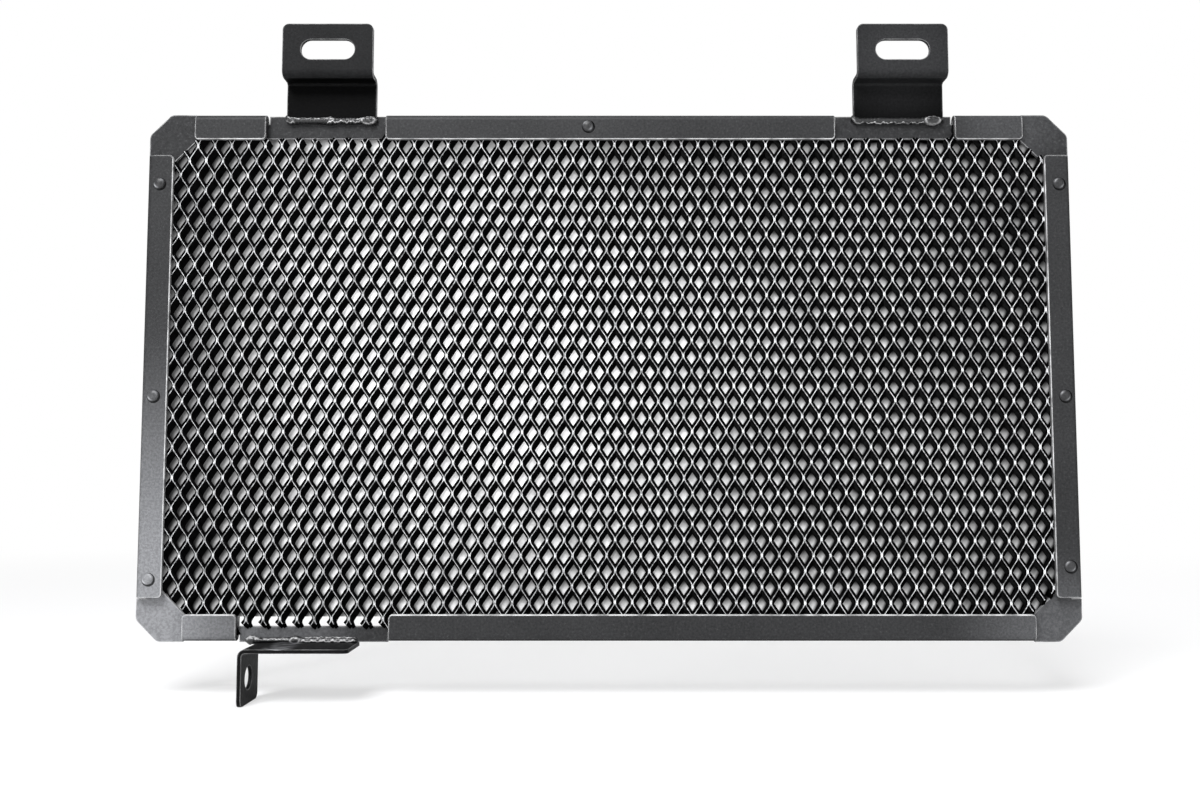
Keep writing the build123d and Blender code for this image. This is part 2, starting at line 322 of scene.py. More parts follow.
def powderCoat(name, look):
    # Satin black powder coat: fine orange peel, mottled tone, and edges rubbed towards grey.
    s = coatSet
    material, wire, shader = startMaterial(name)
    place = objectPlace(wire)
    grain = noiseOn(wire, place, s["grain"], 2.0)
    peel = noiseOn(wire, place, s["peel"])
    cloud = noiseOn(wire, place, s["cloud"])
    speck = noiseOn(wire, place, s["fine"], 1.0).span(*s["speckShown"])
    mottleLow, mottleHigh = 1 - look["mottle"], 1 + look["mottle"]
    uneven = noiseOn(wire, place, s["fine"], roughness=s["mottleRough"])
    mottle = uneven.span(*s["mottleShown"], mottleLow, mottleHigh)
    least, more = s["cloudTone"]
    tone = look["base"] * (least + more * cloud) * mottle
    least, more = s["cloudGloss"]
    gloss = look["gloss"] * (least + more * cloud)
    wear = edgeMask(wire, look["edgeReach"])
    # painted shade: set-back faces darker, and duller
    if "matt" in look:
        matt = look["matt"]
        proud = wire.maths("LESS_THAN", axisOf(wire, place, 1), matt["beyond"] * mm)
        tone = tone * (matt["tone"] + (1 - matt["tone"]) * proud)
        gloss = gloss * (matt["gloss"] + (1 - matt["gloss"]) * proud)
    # painted sheen in soft paler patches
    if "paintedSheen" in look:
        sheenUneven = mottle.span(mottleLow, mottleHigh, *s["sheenUneven"])
        for patch in sheenPatchSet:
            away = farFrom(wire, place, patch["middle"], patch["steep"])
            share = away.span(sheenCore * mm, patch["reach"] * mm, 1.0, 0.0)
            tone = tone + patch["tone"] * share * sheenUneven
    if "hems" in look:          # the ring is duller than the hems
        onHem = wire.maths("LESS_THAN", axisOf(wire, place, 1), hemSet["rear"] * mm)
        sideShade = sideShadeShare(wire)
        onRing = hemSet["ringGloss"]
        # painted shade on the outer sides and undersides
        tone = tone * sideShade
        gloss = gloss * (onRing + (1 - onRing) * onHem) * sideShade
        wear = hemBrightEdges(wire, place, wear, onHem) * sideShade
    # painted highlight streaks on the ledge's top face
    if "streak" in look:
        tone = tone + ledgeTopHighlight(wire, place, look["streak"])
    if "skirtShadow" in look:          # painted shadow on the skirt, and painted glints on the dome
        unshaded = 1 - skirtShadowOn(wire, place, look["skirtShadow"])
        tone = tone * unshaded + look["skirtShadow"]["glint"] * paintedHighlightOf(wire)
        gloss = gloss * unshaded
    flecked = (speck * look["speck"]).blend(coolGrey(wire, tone), grey(s["speckTone"]))
    rubbed = wear * noiseOn(wire, place, s["rubbedSize"]).span(*s["rubbed"]) * look["edge"]
    feed(rubbed.blend(flecked, grey(s["rubbedTone"])), shader, "Base Color")
    rougher = s["peelRough"] * (peel - 0.5) + s["cloudRough"] * (cloud - 0.5)
    feed(look["roughness"] + rougher, shader, "Roughness")
    feed(gloss, shader, "Coat Weight")
    shader.inputs["Coat Roughness"].default_value = look["roughness"]
    shader.inputs["Specular IOR Level"].default_value = look["specular"]
    feedBump(wire, shader, look["bump"], s["bumpDepth"], grain * 0.5 + peel * 0.5)
    return material


coats = {name: powderCoat(name, look) for name, look in coatLooks.items()}


def dress(nodeName, material):
    mesh = nodes[nodeName].data
    mesh.materials.clear()
    mesh.materials.append(material)


dress("folded_frame", coats["frameCoat"])
dress("upper_left_bracket", coats["bracketCoat"])
dress("upper_right_bracket", coats["bracketCoat"])
dress("lower_bracket", coats["tabCoat"])
print("frame and brackets coated")


def addPiece(name, points, faces, material, replaced):
    mesh = bpy.data.meshes.new(name)
    mesh.from_pydata((points * mm).tolist(), [], faces)
    mesh.materials.append(material)
    piece = bpy.data.objects.new(name, mesh)
    scene.collection.objects.link(piece)
    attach(piece, "root")
    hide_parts(replaced)
    return piece


def tubeFaces(rows, around):
    # Quads between neighbouring rings, and one cap at each end.
    number = np.arange(rows * around).reshape(rows, around)
    after = np.roll(number, -1, axis=1)
    quads = np.stack([number[:-1], number[1:], after[1:], after[:-1]], -1).reshape(-1, 4)
    return quads.tolist() + [number[0].tolist(), number[-1][::-1].tolist()]


def setPaintedHighlight(piece, values, domain):
    layer = piece.data.attributes.new("rim", "FLOAT", domain)
    layer.data.foreach_set("value", np.asarray(values, np.float32).ravel())


def smoothen(piece):
    piece.data.polygons.foreach_set("use_smooth", np.ones(len(piece.data.polygons), bool))


# Rivets

rivetSet = {
    "inset": 4.6, "fromTop": 26.8, "belowMiddle": 8.4,             # places, from the folds
    "leftFromBottom": 22.8, "rightFromBottom": 27.5, "topOffset": -8.0,
    "head": 2.1, "rise": 1.0, "shank": 1.0, "frontHead": 1.7, "frontRise": 0.5,
    "skirt": 0.38, "skirtRise": 0.03, "skirtShift": (0.3, -0.3),   # skirt with a painted shadow round a dome, off to one side
    "sunk": 0.1,                                                   # foot of the skirt, inside the hem
    "glint": (0.82, 0.14),                        # painted highlight band of a dome: share of its radius, and width
    "leftGlints": ((225.0, 1.0), (45.0, 0.4)),    # painted highlights: degrees and strength
    "rightGlints": ((135.0, 0.5), (315.0, 0.6)),
    "leftWithin": 20.0,                           # of the frame's left side
    "glintPower": 6,
    "around": 32, "arc": 9, "pole": 0.08,         # points round and over a dome, and where they start
}


def rivetPlaces():
    s = rivetSet
    low, high = frameLow + hemSet["proud"], frameHigh - hemSet["proud"]
    middle = (low + high) / 2
    left, right = low[0] + s["inset"], high[0] - s["inset"]
    upper, lower = high[2] - s["fromTop"], middle[2] - s["belowMiddle"]
    return [(left, upper), (left, lower), (left, low[2] + s["leftFromBottom"]),
            (right, upper), (right, lower), (right, low[2] + s["rightFromBottom"]),
            (middle[0] + s["topOffset"], high[2] - s["inset"])]


def glintAround(v, glints):
    # Painted highlights round a dome: a power of the cosine of the angle from each.
    power = rivetSet["glintPower"]
    return sum(share * np.maximum(np.cos(v - math.radians(turn)), 0) ** power for turn, share in glints)


def buildRivets(material):
    # Each rivet is a profile turned about Y: a quarter ellipse for the rear dome, a thin skirt, the shank
    # through the sheets, and a flatter quarter ellipse for the front dome. Glints are painted highlights on
    # bands of the dome.
    s = rivetSet
    a = np.linspace(s["pole"], math.pi / 2, s["arc"])
    rear, front = frameLow[1], frameHigh[1]
    skirt, sunk = s["head"] + s["skirt"], rear + s["sunk"]
    domeRadius, frontRadius = s["head"] * np.sin(a), s["frontHead"] * np.sin(a[::-1])
    rearDome = rear - s["skirtRise"] - s["rise"] * np.cos(a)
    frontDome = front + s["frontRise"] * np.cos(a[::-1])
    radius = np.concatenate([domeRadius, [skirt, skirt], [s["shank"]] * 2, frontRadius])
    depth = np.concatenate([rearDome, [rear - s["skirtRise"], sunk, sunk, front], frontDome])
    v = np.linspace(0, 2 * math.pi, s["around"], endpoint=False)
    shifted = (radius == skirt)[:, None]
    turned = np.empty((len(radius), len(v), 3))
    turned[..., 0] = radius[:, None] * np.cos(v) + s["skirtShift"][0] * shifted
    turned[..., 1] = depth[:, None]
    turned[..., 2] = radius[:, None] * np.sin(v) + s["skirtShift"][1] * shifted
    places = np.array([(x, 0.0, z) for x, z in rivetPlaces()])
    points = (places[:, None, None, :] + turned).reshape(-1, 3)

    middle, width = s["glint"]
    onDome = np.arange(len(radius)) < s["arc"]
    band = np.exp(-((radius / s["head"] - middle) / width) ** 2) * onDome
    leftGlow, rightGlow = glintAround(v, s["leftGlints"]), glintAround(v, s["rightGlints"])
    onLeft = places[:, 0] < frameLow[0] + s["leftWithin"]
    rim = np.stack([band[:, None] * (leftGlow if left else rightGlow) for left in onLeft])
    one = tubeFaces(len(radius), s["around"])
    firsts = range(0, len(points), len(radius) * s["around"])
    faces = [[first + corner for corner in face] for first in firsts for face in one]
    piece = addPiece("rivetHeads", points, faces, material, "rivets")
    setPaintedHighlight(piece, rim, "POINT")
    smoothen(piece)


buildRivets(coats["rivetCoat"])
print("rivets set")


# Expanded panel

panelSet = {
    "strandPitch": 3.18,           # half a cell's width
    "tipPitch": 5.75,              # half a cell's height
    "bond": 1.6,                   # upright stretch where two neighbours are joined
    "nearTip": (-0.87, -0.36, 0.36, 0.87),    # path points round a tip, in bonds
    "crest": 0.125,                # half of the rear crest, which carries a painted highlight
    "knuckle": 0.22,               # the same at a bond
    "apart": 0.8,                  # share of that between the two crests at a bond
    "half": 0.66,                  # half of a strand's thickness, face on
    "brow": 0.48,                  # how much further the upper shoulder reaches
    "browTurn": 0.4,               # rise of the strand's side from which it does so in full
    "bevel": 0.40,                 # crest to the strand's shoulders, in depth
    "lean": (0.10, 1.88, -2.00),   # from a strand's rear crest to its front edge
    "slant": (0.65, 0.50),         # added to the lean in the left half, along X and Z
    "slantEnds": (15.0, 60.0),     # where it ends, and over how far it fades
    "foot": 0.9,                   # lowest crests above the panel's edge, for the lean
    "rearGap": 0.06,               # crests to the hems' inner faces
    "shortest": 3,                 # fewest path points in a piece of strand that is kept
    "halvings": 12,                # steps towards the panel's edge
    # Wander of the whole pattern: its size, then waves by length along X and Z, phase and divisor.
    "waver": 0.20,
    "wavesX": ((41, 29, 0.0, 1), (17, -23, 1.7, 2), (6.1, 4.7, 0.0, 3)),
    "wavesZ": ((37, -31, 0.6, 1), (19, 15, 2.9, 2), (5.3, -6.9, 0.0, 3)),
    # painted highlight on the rear crests, and more on the bonds
    "crestShine": 0.70, "knuckleShine": 1.0,
    "frontShine": (0.16, 0.01),    # painted sheen on the front edge and left flank
}
landSet = {
    "flange": 8.8,                 # ring's flange
    "cornerCut": 9.2,              # window's corner
    "cornerLap": -0.2, "upperLap": -0.6, "lowerLap": 0.1,    # panel over the ring, seen from the rear
    "cornerTail": 0.8, "lowerTail": 0.45,                    # share of the lean kept off the ring below
    "ragged": (0.3, 2.3, 1.1, 0.7),                          # uneven ends of the strands
    "upperBefore": 7.4, "upperAfter": 3.8,
    "lowerBefore": 5.7, "lowerAfter": 11.3, "lowerFlange": 5.2,
}


def panelKeeps(x, z):
    # True inside the panel: a rectangle without its four corners and the brackets' three lands.
    s = landSet
    drop = panelSet["lean"][2]
    edgeLow, edgeHigh = frameLow + hemSet["proud"], frameHigh - hemSet["proud"]
    keeps = (x > panelLow[0]) & (x < panelHigh[0])
    keeps &= (z > panelLow[2] + panelSet["foot"]) & (z < panelHigh[2])
    middle = (edgeLow + edgeHigh) / 2
    half = (edgeHigh - edgeLow) / 2 - s["flange"]
    size, often, bend, bendOften = s["ragged"]
    ragged = size * np.sin(often * x + bend * np.sin(bendOften * x))
    diagonal = half[0] + half[2] - s["cornerCut"] + s["cornerLap"] * 2 ** 0.5
    foot = np.where(z < middle[2], z + s["cornerTail"] * drop, z)
    keeps &= abs(x - middle[0]) + abs(foot - middle[2]) < diagonal + ragged
    for low, high in ((leftLow, leftHigh), (rightLow, rightHigh)):
        onLand = (x > low[0] - s["upperBefore"]) & (x < high[0] + s["upperAfter"])
        keeps &= ~(onLand & (z > edgeHigh[2] - s["flange"] + s["upperLap"] + ragged))
    onLand = (x > stripLow[0] - s["lowerBefore"]) & (x < stripHigh[0] + s["lowerAfter"])
    foot = z + s["lowerTail"] * drop
    return keeps & ~(onLand & (foot < edgeLow[2] + s["lowerFlange"] - s["lowerLap"] + ragged))


def sway(x, z, waves):
    return sum(np.sin(x / longX + z / longZ + phase) / divisor for longX, longZ, phase, divisor in waves)


def strandPaths():
    # Each strand climbs in a zigzag with upright tips, and every second one is shifted by a tip, so that
    # neighbours meet in bonds. Four points stand round each tip. Sines move the whole pattern a little.
    # Also gives each point's share of knuckle, 1 on a bond and 0 between bonds.
    s = panelSet
    pitch, tipPitch = s["strandPitch"], s["tipPitch"]
    strands = np.arange(math.floor(panelLow[0] / pitch), math.ceil(panelHigh[0] / pitch))
    tips = np.arange(math.floor(panelLow[2] / tipPitch), math.ceil(panelHigh[2] / tipPitch) + 1)
    nearTip = np.array(s["nearTip"]) * s["bond"]
    share = np.clip((abs(nearTip) - s["bond"] / 2) / (tipPitch - s["bond"]), 0, 1)
    z = (tips[:, None] * tipPitch + nearTip).ravel()
    onLeft = np.repeat((strands[:, None] + tips) % 2 == 0, len(nearTip), axis=1)
    left = (strands * pitch + s["knuckle"] * s["apart"])[:, None]
    swing = pitch - 2 * s["knuckle"] * s["apart"]
    fromLeft = np.where(onLeft, np.tile(share, len(tips)), 1 - np.tile(share, len(tips)))
    x = left + swing * fromLeft
    z = np.broadcast_to(z, x.shape)
    knuckle = np.broadcast_to(np.tile(share == 0, len(tips)).astype(float), x.shape)
    return x + s["waver"] * sway(x, z, s["wavesX"]), z + s["waver"] * sway(x, z, s["wavesZ"]), knuckle


def trimPaths(path):
    # Moves the first point beyond the panel's edge back onto it, by halving the step from its neighbour.
    path = path.copy()
    inside = panelKeeps(path[..., 0], path[..., 1])
    kept = inside.copy()
    for shift in (1, -1):
        cut = np.roll(inside, shift, axis=1) & ~kept
        near = np.roll(path, shift, axis=1)[cut]
        far = path[cut]
        for _ in range(panelSet["halvings"]):
            middle = (near + far) / 2
            good = panelKeeps(middle[:, 0], middle[:, 1])[:, None]
            near, far = np.where(good, middle, near), np.where(good, far, middle)
        path[cut] = near
        kept |= cut
    return path, kept


def strandPoints(path, knuckle):
    # Strand surface: path point + across * mitre + depth, over strands, path and section. The section is a
    # ridge with a flat crest, two bevels down to its shoulders, the upper one wider, and a body swept from
    # there along the lean, to which the slant is added in the left half.
    s = panelSet
    tiny = 1e-6
    run = np.diff(path, axis=1)
    run /= np.maximum(np.linalg.norm(run, axis=-1, keepdims=True), tiny)
    side = np.stack([-run[..., 1], run[..., 0]], -1)
    before = np.concatenate([side[:, :1], side], 1)
    after = np.concatenate([side, side[:, -1:]], 1)
    mitre = (before + after) / (1 + (before * after).sum(-1, keepdims=True))
    crest = s["crest"] + (s["knuckle"] - s["crest"]) * knuckle
    wide = np.full_like(crest, s["half"])
    upward = np.clip(mitre[..., 1] / s["browTurn"], -1, 1) * s["brow"]
    leftWide, rightWide = wide + np.maximum(upward, 0), np.minimum(upward, 0) - wide
    across = np.stack([leftWide, crest, -crest, rightWide, -wide, wide], -1)
    swept = np.array([0, 0, 0, 0, 1, 1.0])
    bevel = np.array([1, 0, 0, 1, 0, 0]) * s["bevel"]
    lean = np.array(s["lean"])
    flat = path[:, :, None, :] + across[..., None] * mitre[:, :, None, :] + swept[:, None] * lean[[0, 2]]
    slantEnd, slantFade = s["slantEnds"]
    fade = np.clip((slantEnd - path[..., 0]) / slantFade, 0, 1)
    fade = fade * fade * (3 - 2 * fade)
    flat = flat + (swept * fade[..., None])[..., None] * np.array(s["slant"])
    deep = np.broadcast_to(panelLow[1] + s["rearGap"] + swept * lean[1] + bevel, flat.shape[:-1])
    return np.stack([flat[..., 0], deep, flat[..., 1]], -1)


def buildPanel(material):
    # Quads along every stretch of path inside the panel, and a cap at both ends of each.
    s = panelSet
    x, z, knuckle = strandPaths()
    path, inside = trimPaths(np.stack([x, z], -1))
    points = strandPoints(path, knuckle)

    joined = inside[:, :-1] & inside[:, 1:]
    for _ in range(s["shortest"] - 2):
        longEnough = joined.copy()
        longEnough[:, 1:-1] &= joined[:, :-2] | joined[:, 2:]
        joined = longEnough
    padded = np.pad(joined, ((0, 0), (1, 1)))
    starts = padded[:, 1:-1] & ~padded[:, :-2]
    ends = padded[:, 1:-1] & ~padded[:, 2:]

    count = points.shape[-2]
    number = np.arange(points[..., 0].size).reshape(points.shape[:-1])
    ring = np.arange(count)
    nextRing = (ring + 1) % count
    strand, step = np.nonzero(joined)
    here, there = number[strand, step], number[strand, step + 1]
    corners = [here[:, ring], here[:, nextRing], there[:, nextRing], there[:, ring]]
    quads = np.stack(corners, -1).reshape(-1, 4)
    onBond = knuckle[strand, step] * knuckle[strand, step + 1]
    # painted highlight on the crest faces, and painted sheen on the front faces
    shine = np.zeros((len(strand), count))
    shine[:, 1] = s["crestShine"] + (s["knuckleShine"] - s["crestShine"]) * onBond
    shine[:, 4:] = s["frontShine"]
    strand, step = np.nonzero(starts)
    firstCaps = number[strand, step][:, ::-1]
    strand, step = np.nonzero(ends)
    lastCaps = number[strand, step + 1]
    used, quads = np.unique(quads, return_inverse=True)
    caps = np.searchsorted(used, np.concatenate([firstCaps, lastCaps]))
    faces = quads.reshape(-1, 4).tolist() + caps.tolist()
    points = points.reshape(-1, 3)[used]
    piece = addPiece("expandedPanel", points, faces, material, "expanded_mesh")
    shine = np.concatenate([shine.ravel(), np.zeros(len(caps))])
    setPaintedHighlight(piece, shine, "FACE")
    print("panel:", len(faces), "faces on", len(x), "strands")


strandLook = {
    # rim is the colour of the painted highlight on the rear crests
    "rim": 0.95, "rimWarmth": -0.01, "rimRoughness": 0.32,
    "flank": 0.002, "flankRoughness": 0.6,
    "patchSize": 14.0, "patch": (0.3, 0.7, 0.6, 1.0),           # uneven painted highlight, sizes in mm
    "fleckSize": 1.2, "fleck": (0.36, 0.62, 0.35, 1.0),
    "toneSize": 2.5, "tone": (0.3, 0.7, 0.6, 1.5),
    "rightKnuckleHighlight": (-20.0, 120.0, 0.7),    # from here to here, along X, the knuckles' painted highlight gets this much brighter
    "grain": 0.6, "bump": 0.15, "bumpDepth": 0.15,
}


def strandCoat(look):
    # Black strands whose rear rims carry an uneven painted highlight, and whose front faces a faint painted
    # sheen.
    material, wire, shader = startMaterial("strandCoat")
    place = objectPlace(wire)
    rim = paintedHighlightOf(wire)
    patch = noiseOn(wire, place, look["patchSize"], 2.0).span(*look["patch"])
    fleck = noiseOn(wire, place, look["fleckSize"], 2.0).span(*look["fleck"])
    start, end, gain = look["rightKnuckleHighlight"]
    onKnuckle = rim.span(panelSet["crestShine"], panelSet["knuckleShine"])
    rightKnuckleHighlight = axisOf(wire, place, 0).span(start * mm, end * mm, 0.0, gain) * onKnuckle
    shine = rim * patch * fleck * (1 + rightKnuckleHighlight)
    tone = noiseOn(wire, place, look["toneSize"], 2.0).span(*look["tone"]) * look["flank"]
    bright = grey(look["rim"], look["rimWarmth"])
    feed(shine.blend(coolGrey(wire, tone), bright), shader, "Base Color")
    smoother = look["rimRoughness"] - look["flankRoughness"]
    feed(look["flankRoughness"] + smoother * rim, shader, "Roughness")
    shader.inputs["Specular IOR Level"].default_value = 0.0
    feedBump(wire, shader, look["bump"], look["bumpDepth"], noiseOn(wire, place, look["grain"], 2.0))
    return material


buildPanel(strandCoat(strandLook))


# Weld beads

leftWeldSet = {
    "radius": 1.15, "deep": 1.7, "hook": 2.2, "ripple": 0.08, "ripplePitch": 1.25,
    "lumps": [      # share of the length, width, height
        (0.48, 1.6, 0.45), (0.92, 2.6, 0.50), (0.07, 1.2, 0.20), (0.70, 1.5, 0.15),
    ],
    "lines": [      # painted highlight lines: from, to, angle, width, strength
        (0.00, 0.50, 0.9, 0.10, 1.0), (0.44, 0.82, 2.1, 0.09, 1.0), (0.47, 0.53, 1.5, 0.12, 0.7),
        (0.76, 0.83, 1.3, 0.12, 0.8), (0.00, 0.10, 2.4, 0.15, 0.6),
    ],
    "rings": [(0.90, 3.0, 1.55, 0.5)],       # painted highlight rings: share, half width, half height, strength
}
rightWeldSet = {
    "radius": 1.15, "deep": 1.7, "hook": 2.2, "ripple": 0.05, "ripplePitch": 1.6,
    "lumps": [(0.87, 2.6, 0.65), (0.30, 1.8, 0.15), (0.55, 2.0, 0.10), (0.05, 1.2, 0.15)],
    "lines": [(0.14, 0.44, 2.55, 0.12, 1.0), (0.44, 0.78, 2.55, 0.10, 0.7), (0.00, 0.12, 2.5, 0.15, 0.5)],
    "rings": [(0.87, 3.2, 1.9, 0.3)],
}
lowerWeldSet = {
    "radius": 0.95, "deep": 1.30, "hook": 0.0, "ripple": 0.06, "ripplePitch": 1.4,
    "lumps": [(0.06, 1.9, 0.75), (0.45, 1.9, 0.70), (0.75, 9.0, 0.25)],
    "lines": [(0.00, 0.14, 0.6, 0.4, 0.5), (0.50, 0.99, 0.25, 0.22, 0.8), (0.50, 0.99, 1.75, 0.22, 0.9),
              (0.16, 0.40, 0.9, 0.25, 0.35)],
    "rings": [(0.45, 2.0, 1.3, 0.5)],
}
beadSet = {    # shared by the beads
    "around": 28, "steps": 240,
    "taper": 1.4, "least": 0.02,                # rounded ends, mm, and how thin they get
    "leastHook": 0.01,                          # stands in for a hook of no radius
    "deepShare": 0.4,                           # how much of the swelling goes into the depth
    "rippleBend": (1.3, 0.9), "oval": (0.05, 3.1),
    "lineFade": 0.02,                           # share of the length over which a line starts and ends
    "lineBends": ((0.22, 1.7), (0.12, 4.1)),    # how far, and how often
    "ring": (0.85, 0.13),                       # where a ring lies in its ellipse, and its width
}
upperSeat = {"ends": (-0.2, 0.5), "back": 0.6, "up": 0.1}    # from the bracket and the plain bead
lowerSeat = {"ends": (-3.2, -0.4), "back": 0.35, "up": 0.75}


def beadHighlights(look, points, share, xLow, xHigh, z, v):
    # Painted highlights: bright lines along a bead at an angle, with bends, and rings round its lumps.
    s = beadSet
    x = xLow + share * (xHigh - xLow)
    bends = sum(far * np.sin(often * x) for far, often in s["lineBends"])
    rim = np.zeros(points.shape[:2])
    for start, end, turned, width, strength in look["lines"]:
        started = np.clip((share - start) / s["lineFade"], 0, 1)
        shown = started * np.clip((end - share) / s["lineFade"], 0, 1)
        middle = turned + bends
        rim += strength * shown[:, None] * np.exp(-((v - middle[:, None]) / width) ** 2)
    ringAt, ringWidth = s["ring"]
    for place, halfWide, halfHigh, strength in look["rings"]:
        fromMiddle = points[..., 0] - xLow - place * (xHigh - xLow)
        fromRing = np.hypot(fromMiddle / halfWide, (points[..., 2] - z) / halfHigh)
        rim += strength * np.exp(-((fromRing - ringAt) / ringWidth) ** 2) * (np.sin(v) > 0)
    return np.clip(rim, 0, 1)


def buildBead(name, look, replaced, xLow, xHigh, y, z, material):
    # A tube along X whose thickness swells by a bell curve at each lump and ripples in between, and whose
    # left end curls upwards on a quarter circle.
    s = beadSet
    hook = look["hook"]
    turn = hook * math.pi / 2
    length = xHigh - xLow - hook + turn
    along = np.linspace(0, length, s["steps"])
    angle = np.clip((turn - along) / max(hook, s["leastHook"]), 0, math.pi / 2)
    x = xLow + hook - hook * np.sin(angle) + np.maximum(along - turn, 0)
    share = (x - xLow) / (xHigh - xLow)
    lift = hook * (1 - np.cos(angle))
    bend, bendOften = s["rippleBend"]
    phase = x * 2 * math.pi / look["ripplePitch"] + bend * np.sin(x * bendOften)
    swell = 1 + look["ripple"] * np.sin(phase)
    for place, width, height in look["lumps"]:
        swell = swell + height * np.exp(-((share - place) * (xHigh - xLow) / width) ** 2)
    taper = np.sqrt(np.clip(np.minimum(along, length - along) / s["taper"], s["least"], 1))
    thick = look["radius"] * swell * taper
    deep = look["deep"] * (1 - s["deepShare"] + s["deepShare"] * swell) * taper
    v = np.linspace(0, 2 * math.pi, s["around"], endpoint=False)
    oval, ovalOften = s["oval"]
    across = thick[:, None] * np.cos(v) * (1 + oval * np.sin(x * ovalOften)[:, None] * np.cos(2 * v))
    points = np.empty((len(along), len(v), 3))
    points[..., 0] = x[:, None] + np.sin(angle)[:, None] * across
    points[..., 1] = y - deep[:, None] * np.sin(v)
    points[..., 2] = z + lift[:, None] + np.cos(angle)[:, None] * across
    faces = [face[::-1] for face in tubeFaces(*points.shape[:2])]
    piece = addPiece(name, points.reshape(-1, 3), faces, material, replaced)
    setPaintedHighlight(piece, beadHighlights(look, points, share, xLow, xHigh, z, v), "POINT")
    smoothen(piece)


weldLook = {
    # bright is the painted highlights' colour, and lumpTone paints the hollows darker as shade
    "base": 0.010, "lumpTone": (0.6, 0.9), "bright": 0.90, "coat": 0.09, "coatRoughness": 0.2,
    "roughness": 0.20, "lumpRough": 0.25,                       # least, and what a full lump adds
    "lumpSize": 2.2, "pitSize": 0.8, "brokenSize": 1.6,         # mm
    "pit": (0.62, 0.72), "pitShare": 0.15, "pitTone": 0.22,
    "broken": (0.30, 0.50, 0.30, 1.0),
    "bump": 0.2, "bumpDepth": 0.4, "bumpLump": 0.7,
}


def weldCoat(look):
    # Gloss coat over a weld: black hollows as painted shade, small pits, and bright broken lines as painted
    # highlights where it is proud.
    material, wire, shader = startMaterial("weldCoat")
    place = objectPlace(wire)
    lump = noiseOn(wire, place, look["lumpSize"])
    pit = noiseOn(wire, place, look["pitSize"], 2.0)
    least, more = look["lumpTone"]
    tone = look["base"] * (least + more * lump)
    pitted = pit.span(*look["pit"]) * look["pitShare"]
    flecked = pitted.blend(coolGrey(wire, tone), grey(look["pitTone"]))
    broken = paintedHighlightOf(wire) * noiseOn(wire, place, look["brokenSize"], 2.0).span(*look["broken"])
    feed(broken.blend(flecked, grey(look["bright"])), shader, "Base Color")
    feed(look["roughness"] + look["lumpRough"] * lump, shader, "Roughness")
    shader.inputs["Coat Weight"].default_value = look["coat"]
    shader.inputs["Coat Roughness"].default_value = look["coatRoughness"]
    height = lump * look["bumpLump"] + pit * (1 - look["bumpLump"])
    feedBump(wire, shader, look["bump"], look["bumpDepth"], height)
    return material


weldMaterial = weldCoat(weldLook)
upperBeads = [
    ("upperLeftBead", leftWeldSet, "upper_left_weld", leftLow, leftHigh),
    ("upperRightBead", rightWeldSet, "upper_right_weld", rightLow, rightHigh),
]
for name, look, replaced, low, high in upperBeads:
    weldLow, weldHigh = nodeBox(replaced)
    start, end = low[0] + upperSeat["ends"][0], high[0] + upperSeat["ends"][1]
    y, z = weldHigh[1] - upperSeat["back"], weldHigh[2] + upperSeat["up"]
    buildBead(name, look, replaced, start, end, y, z, weldMaterial)
weldLow, weldHigh = nodeBox("lower_weld")
start, end = stripLow[0] + lowerSeat["ends"][0], stripHigh[0] + lowerSeat["ends"][1]
y, z = weldHigh[1] - lowerSeat["back"], weldLow[2] + lowerSeat["up"]
buildBead("lowerBead", lowerWeldSet, "lower_weld", start, end, y, z, weldMaterial)
print("welds laid")


# Studio

guardMiddle = (cadLow + cadHigh) / 2
studioSet = {
    "floorHalf": 4.0, "glowNear": 0.30, "glowFar": 1.1,    # metres
    "floorTone": 0.90, "glowLeast": 0.5,
    "world": 0.22, "mirrored": 0.2,                        # light on the guard, and more in its reflections
    "lampColour": (0.982, 0.985, 1.0),
}
sheetSet = {
    "gap": -0.6, "inset": 4.0, "foot": 9.2,      # mm, from the guard's front and the frame's outline
    "middle": (-60.0, 0.0, -112.0), "steep": (0.9, 0.0, 1.1),      # of the painted pool of light
    "reach": (30.0, 135.0), "tones": (1.0, 0.80),                  # fade from that middle outwards, mm
    "left": (70.0, 0.45),                        # further painted shade towards the left edge
    "ends": (130.0, 240.0, 0.50),                # and painted shade far from the patch
    "shade": (0.15, 1.0),                        # painted shadow in single cells, near and far
    "open": (-0.56, 0.38),                       # a cell's painted lit and shaded ends, seen through the panel
    "lowEdge": (0.04, 0.30),                     # painted shadow along a cell's lower sides
    "slant": 0.8,                                # how far the painted light in cells at the left edge slants
    "tilt": 1.5, "tiltSize": 9.0,                # how far single cells' painted light comes from one side
    "blotchSize": 11.0, "blotch": (0.3, 0.7, 0.75, 1.1),
    "grainSize": 2.5, "grain": (0.3, 0.7, 0.8, 1.1),
    # the sheet glows with this share of its painted colour, as painted light
    "glow": 0.55,
}
lamps = {    # metres and watts
    "key": {"place": (-0.40, -1.05, 1.05), "size": 0.7, "power": 31.0},
    "fill": {"place": (0.80, -0.95, 0.15), "size": 0.8, "power": 3.0},
    "low": {"place": (-0.46, -0.60, -0.12), "size": 0.22, "power": 1.0},
    "top": {"place": (0.05, -0.25, 1.05), "size": 0.8, "power": 2.0},
    "behind": {"place": (0.30, 1.10, 0.55), "size": 1.0, "power": 7.0},
}


def startStage(name, corners):
    # A flat sheet of the studio, with an empty material.
    mesh = bpy.data.meshes.new(name)
    mesh.from_pydata(corners, [], [(0, 1, 2, 3)])
    sheet = bpy.data.objects.new(name, mesh)
    scene.collection.objects.link(sheet)
    material = bpy.data.materials.new(name)
    material.use_nodes = True
    material.node_tree.nodes.clear()
    mesh.materials.append(material)
    return sheet, Wire(material.node_tree)


def closeTree(surface, kind):
    output = surface.tree.nodes.new(kind)
    surface.tree.links.new(surface.socket, output.inputs[0])


